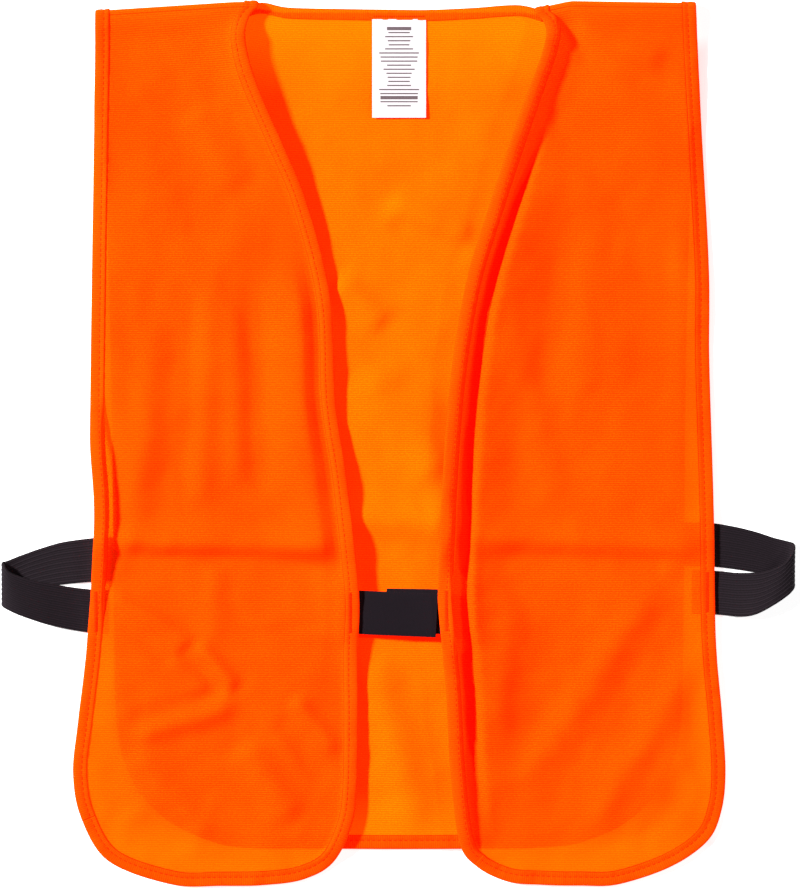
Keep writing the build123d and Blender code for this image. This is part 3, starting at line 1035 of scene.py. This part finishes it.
right_corner = place_on(right, -181.0, -219.0)
right_hem_end = place_on(right, -36.5, -241.0)
left_corner = place_on(left, 183.5, -220.0)
left_hem_end = place_on(left, 45.6, -243.5)
back_right_corner = place_on(back, -161.0, -163.0)
back_left_corner = place_on(back, 163.5, -163.0)
right_count, left_count, back_count = (len(panel.rails[0]) for panel in (right, left, back))
BINDINGS = (
    ("right_armhole_fold_binding", right, 0, RING + 1),
    ("right_armhole_edge_binding", right, RING, right_corner + 1),
    ("right_hem_edge_binding", right, right_corner, right_hem_end + 1),
    ("right_front_edge_binding", right, right_hem_end, right_count - RING),
    ("right_neck_fold_binding", right, right_count - RING - 1, right_count),
    ("left_neck_fold_binding", left, 0, RING + 1),
    ("left_front_edge_binding", left, RING, left_hem_end + 1),
    ("left_hem_edge_binding", left, left_hem_end, left_corner + 1),
    ("left_armhole_edge_binding", left, left_corner, left_count - RING),
    ("left_armhole_fold_binding", left, left_count - RING - 1, left_count),
    ("back_right_edge_binding", back, 0, back_right_corner + 1),
    ("back_hem_edge_binding", back, back_right_corner, back_left_corner + 1),
    ("back_left_edge_binding", back, back_left_corner, back_count),
)
for number, (name, panel, first, last) in enumerate(BINDINGS):
    bind(name, panel, first, last, seed=1.0 + number)

# The neckline: its own rails, laid on the back's cloth
NECKLINE = (
    (-88, 252.0), (-80, 254.3), (-74, 253.9), (-62, 251.5), (-30, 250.7), (0, 250.3), (19, 250.2),
    (45, 251.4), (64, 252.9), (74, 252.5), (84, 249.6),
)
neckline = even_path(NECKLINE, 3.6)
neck_rails = []
for inset in NECK_ROWS:
    row = [(x, y - inset, height_on(back_tree, x, y - max(inset, 1.5), BACK_LEVEL)) for x, y in neckline]
    neck_rails.append(np.array(row))
made["back_neck_edge_binding"] = binding_object(
    "back_neck_edge_binding", neck_rails, NECK_ROWS, BINDING_MATERIAL, scale=NECK_ROWS[-1] / BOUND,
    seed=1.0 + len(BINDINGS),
)
topstitch("back_neck_edge_binding", neck_rails, NECK_ROWS, NECK_STITCH_INSET)


# ---------------------------------------------------------------- elastics, tapes and label
def band_object(name, stations, width, thickness, material, ribs=0.0, first=0.0, last=1.0):
    """A flat band along stations (x, y, z and its width's direction), between two shares of its length."""
    path = even_path(stations, 1.2)
    count = len(path)
    path = path[int(first * (count - 1)): int(last * (count - 1)) + 1]
    centre = path[:, :3]
    wide = path[:, 3:] / np.linalg.norm(path[:, 3:], axis=1)[:, None]
    along = np.gradient(centre, axis=0)
    along /= np.linalg.norm(along, axis=1)[:, None]
    up = np.cross(along, wide)
    up /= np.linalg.norm(up, axis=1)[:, None]
    run = run_of(centre)
    steps = 54 if ribs else 14
    half = [(u, 0.5 * thickness * min(1.0, 0.45 + (1 - abs(u)) * 14)) for u in np.linspace(-1, 1, steps + 1)]
    section = [(u * width / 2, h + ribs * math.cos(math.pi * u * 9)) for u, h in half]
    section += [(u, -h) for u, h in reversed(section)]
    points, uv = [], []
    for i in range(len(centre)):
        for u, h in section:
            points.append(centre[i] + wide[i] * u + up[i] * h)
            uv.append((run[i], u))
    faces = tube_faces(len(centre), len(section))
    thing = new_object(name, points, faces, uv=uv, material=material)
    fix_normals(thing)
    thing.data.set_sharp_from_angle(angle=math.radians(50))
    return thing


# Stations of the elastics' loops, out from the back and round again to the front
RIGHT_LOOP = (
    (-160.5, -66.6, 2.6, 0, 1, 0), (-170, -66.9, 2.6, 0, 1, 0), (-180, -67.6, 1.4, 0.07, 1, 0),
    (-195.7, -69.6, 1.0, 0.16, 1, 0), (-210, -73.2, 0.95, 0.26, 1, 0), (-219.5, -77.0, 1.1, 0.2, 1, 0),
    (-225.2, -80.3, 2.3, 0.05, 1, 0), (-227.2, -81.0, 4.6, 0, 1, 0), (-225.4, -82.6, 7.0, -0.05, 1, 0),
    (-219.5, -86.6, 7.7, -0.22, 1, 0), (-207, -91.0, 6.0, -0.22, 1, 0), (-195, -93.8, 3.6, -0.14, 1, 0),
    (-184, -95.8, 1.7, -0.1, 1, 0), (-174, -97.0, 1.2, -0.05, 1, 0), (-166, -97.2, 1.2, 0, 1, 0),
)
LEFT_LOOP = (
    (162, -58.0, 2.6, 0, 1, 0), (172, -58.2, 2.6, 0, 1, 0), (183, -58.6, 1.4, -0.06, 1, 0),
    (197, -60.6, 1.0, -0.14, 1, 0), (210, -63.4, 0.95, -0.22, 1, 0), (220, -66.8, 1.1, -0.2, 1, 0),
    (226.6, -69.2, 2.3, -0.05, 1, 0), (228.6, -70.4, 4.7, 0, 1, 0), (226.6, -74.4, 7.2, 0.1, 1, 0),
    (219.5, -81.0, 7.9, 0.26, 1, 0), (209, -86.0, 6.3, 0.2, 1, 0), (198, -87.2, 3.8, 0.02, 1, 0),
    (188, -86.4, 1.9, -0.04, 1, 0), (180, -85.9, 1.2, -0.04, 1, 0), (170, -85.6, 1.2, 0, 1, 0),
)
for side, loop in (("right", RIGHT_LOOP), ("left", LEFT_LOOP)):
    for half, first, last in (("back_leg", 0.0, 0.5), ("front_leg", 0.5, 1.0)):
        name = f"{side}_elastic_{half}"
        made[name] = band_object(
            name, loop, ELASTIC_WIDTH, ELASTIC_THICKNESS, ELASTIC_MATERIAL, ribs=0.1, first=first, last=last
        )

LOOP_TAPE = (
    (-29, -96.6, 7.9, 0.04, 1, 0), (-22, -97.0, 7.9, 0.04, 1, 0), (-10, -97.6, 8.3, 0.045, 1, 0),
    (8, -98.3, 8.7, 0.05, 1, 0), (22.9, -98.9, 9.6, 0.055, 1, 0),
)
HOOK_TAPE = (
    (-6, -96.2, 6.9, 0, 1, 0), (8, -96.4, 7.1, 0, 1, 0), (20, -96.6, 7.8, 0, 1, 0), (31, -96.8, 9.2, 0, 1, 0),
)
made["loop_tape"] = band_object("loop_tape", LOOP_TAPE, LOOP_TAPE_WIDTH, LOOP_TAPE_THICKNESS, TAPE_MATERIAL)
made["hook_tape"] = band_object("hook_tape", HOOK_TAPE, HOOK_TAPE_WIDTH, HOOK_TAPE_THICKNESS, TAPE_MATERIAL)

label_low, label_high = box_mm("care_label")
label_x = (label_low[0] + label_high[0]) / 2
label_stations = [
    (label_x, y, height_on(back_tree, label_x, y) + 0.75 + 0.9 * step_up(240 - y, 0, 50), 1, 0, 0)
    for y in np.linspace(label_high[1] + 1.5, label_low[1] + 0.5, 9)
]
made["label"] = band_object("label", label_stations, LABEL_WIDTH, LABEL_THICKNESS, LABEL_MATERIAL)


def seen_from_above(thing):
    """A function that gives the height of an object's upper surface, in millimetres, or None beside it."""
    tree = BVHTree.FromObject(thing, bpy.context.evaluated_depsgraph_get())

    def height(x, y):
        hit = tree.ray_cast(Vector((x * MM, y * MM, 0.1)), Vector((0, 0, -1)))
        return None if hit[0] is None else hit[0].z / MM

    return height


def print_bars(top):
    """Plain bars in place of lettering, laid on the label."""
    label_height = seen_from_above(made["label"])
    pick = random.Random(4)
    points, faces = [], []
    for line in range(PRINT_LINES):
        y = top - PRINT_PITCH * line
        reach = pick.uniform(5.5, 12.0)
        across = np.linspace(label_x - reach, label_x + reach, 7)
        thick = 2.0 if line in THICK_LINES else 0.75
        first = len(points)
        for x in across:
            for side in (0.5, -0.5):
                py = y + side * thick
                points.append((x, py, label_height(x, py) + 0.03))
        faces += [(a, a + 1, a + 3, a + 2) for a in range(first, first + 2 * len(across) - 2, 2)]
    return new_object("label_print", points, faces, uv=[p[:2] for p in points], material=PRINT_MATERIAL)


made["label_print"] = print_bars(label_high[1] - 4.0)


# ---------------------------------------------------------------- bar tacks
def tack_object(name, x, y, under, length=TACK_LENGTH, across=(1, 0), wide=2.4, pitch=0.75):
    """A bar of close zigzag stitches laid on the surface under it."""
    height = seen_from_above(made[under])
    segments = []
    along = (-across[1], across[0])
    count = int(length / pitch)
    for i in range(count):
        t = (i - (count - 1) / 2) * pitch
        ends = []
        for s, drift in ((-0.5, 0.0), (0.5, 0.45 * pitch)):
            px = x + along[0] * (t + drift) + across[0] * s * wide
            py = y + along[1] * (t + drift) + across[1] * s * wide
            z = height(px, py)
            if z is not None:
                ends.append(np.array((px, py, z + 0.05)))
        if len(ends) == 2:
            segments.append((*ends, np.array((0.0, 0.0, 1.0))))
    made[name] = thread_object(name, segments, width=0.55)


TACKS = (
    ("right_elastic_front_bar", -173.4, -97.0, "right_armhole_edge_binding"),
    ("left_elastic_front_bar", 178.6, -85.6, "left_armhole_edge_binding"),
    ("right_elastic_back_bar", -166.5, -66.8, "right_elastic_back_leg"),
    ("left_elastic_back_bar", 169.0, -58.2, "left_elastic_back_leg"),
    ("loop_tape_bar", -26.9, -97.2, "right_front_edge_binding"),
    ("hook_tape_bar", 28.3, -96.0, "left_front_edge_binding"),
)
for name, x, y, under in TACKS:
    tack_object(name, x, y, under)
tack_object(
    "label_bar", label_x, 246.4, "back_neck_edge_binding", length=30.0, across=(0, 1), wide=0.9, pitch=1.3
)

# ---------------------------------------------------------------- what each piece is, rides and stands for
STANDS_FOR = {
    "back_sheet": ["back_panel"],
    "back_right_edge_binding": ["back_right_side_binding"],
    "back_left_edge_binding": ["back_left_side_binding"],
    "back_hem_edge_binding": ["back_hem_binding"],
    "back_neck_edge_binding": ["back_neck_binding"],
    "loop_tape": ["closure_loop_tape"],
    "hook_tape": ["closure_hook_tape"],
    "loop_tape_bar": ["closure_loop_tack"],
    "hook_tape_bar": ["closure_hook_tack"],
    "label": ["care_label"],
    "label_bar": ["care_label_stitching"],
}
for side in ("right", "left"):
    STANDS_FOR[f"{side}_front_sheet"] = [f"{side}_front_side_panel", f"{side}_front_panel"]
    STANDS_FOR[f"{side}_shoulder_fold"] = [f"{side}_shoulder_seam"]
    STANDS_FOR[f"{side}_elastic_back_leg"] = [f"{side}_side_elastic"]
    for where in ("armhole", "hem", "front"):
        STANDS_FOR[f"{side}_{where}_edge_binding"] = [f"{side}_{where}_binding"]
    for where in ("front", "back"):
        STANDS_FOR[f"{side}_elastic_{where}_bar"] = [f"{side}_elastic_{where}_tack"]
everything = dict(made)
for thing in (back_sheet, right_sheet, left_sheet, right_fold_sheet, left_fold_sheet):
    everything[thing.name] = thing
for name, nodes in STANDS_FOR.items():
    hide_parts(*nodes)


# Bake each front's sheet, bindings, folds and elastic legs where they lie, and attach the elastics' bars to
# their bodies
for side, sheet in (("right", right_sheet), ("left", left_sheet)):
    turning = [sheet]
    for name, thing in made.items():
        if name.startswith((f"{side}_armhole_edge", f"{side}_hem_edge", f"{side}_front_edge")):
            turning.append(thing)
    for thing in turning:
        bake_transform(thing)
    for name, thing in everything.items():
        if name.startswith((f"{side}_armhole_fold", f"{side}_neck_fold", f"{side}_shoulder_fold")):
            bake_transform(thing)
    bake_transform(made[f"{side}_elastic_back_leg"])
    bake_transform(made[f"{side}_elastic_front_leg"])
    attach(made[f"{side}_elastic_front_bar"], f"{side}_shoulder")
    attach(made[f"{side}_elastic_back_bar"], "back")
for name, thing in everything.items():
    if name.startswith("back_"):
        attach(thing, "back")
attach(made["label_bar"], "back")
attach(made["loop_tape_bar"], "right_front")
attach(made["hook_tape_bar"], "left_front")
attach(made["hook_tape"], "left_front")
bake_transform(made["loop_tape"])
for name in ("label", "label_print"):
    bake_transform(made[name])

# A pass over the pieces by the words in their names, which does nothing
for name, thing in everything.items():
    if "stitches" in name or name.endswith("_bar"):
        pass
    elif "binding" in name:
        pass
    else:
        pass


def size_of(panel):
    p = np.array(panel.flat)
    return [float(c) for c in (p.max(axis=0) - p.min(axis=0)) * MM]


size_of(back)
back.area()
size_of(right)
right.area()
size_of(left)
left.area()

# ---------------------------------------------------------------- camera and lights
CENTRE = (0.00173, -0.00029)
DISTANCE = 2.0
VIEW_HEIGHT = 0.51264  # what the picture shows at the floor
camera_data = bpy.data.cameras.new("camera")
camera_data.sensor_fit = "AUTO"
camera_data.sensor_width = 36.0
camera_data.lens = camera_data.sensor_width * DISTANCE / VIEW_HEIGHT
camera = bpy.data.objects.new("camera", camera_data)
camera.location = (*CENTRE, DISTANCE)
bpy.context.scene.collection.objects.link(camera)
bpy.context.scene.camera = camera
camera_data.clip_end = 10.0


def area_light(name, location, size, power):
    """A soft light aimed at the middle of the vest."""
    data = bpy.data.lights.new(name, "AREA")
    data.shape = "RECTANGLE"
    data.size, data.size_y = size
    data.energy = power
    light = bpy.data.objects.new(name, data)
    light.location = location
    light.rotation_euler = (Vector((0, 0, 0)) - Vector(location)).to_track_quat("-Z", "Y").to_euler()
    bpy.context.scene.collection.objects.link(light)


area_light("light_left", (-4.5, 1.65, 3.45), (0.55, 0.7), 705)
area_light("light_right", (3.0, 0.6, 2.2), (0.5, 0.5), 34)
world = bpy.data.worlds.new("world")
world.use_nodes = True
world.node_tree.nodes["Background"].inputs[0].default_value = (1, 1, 1, 1)
world.node_tree.nodes["Background"].inputs[1].default_value = 0.035
bpy.context.scene.world = world
bpy.context.scene.view_settings.view_transform = "Standard"
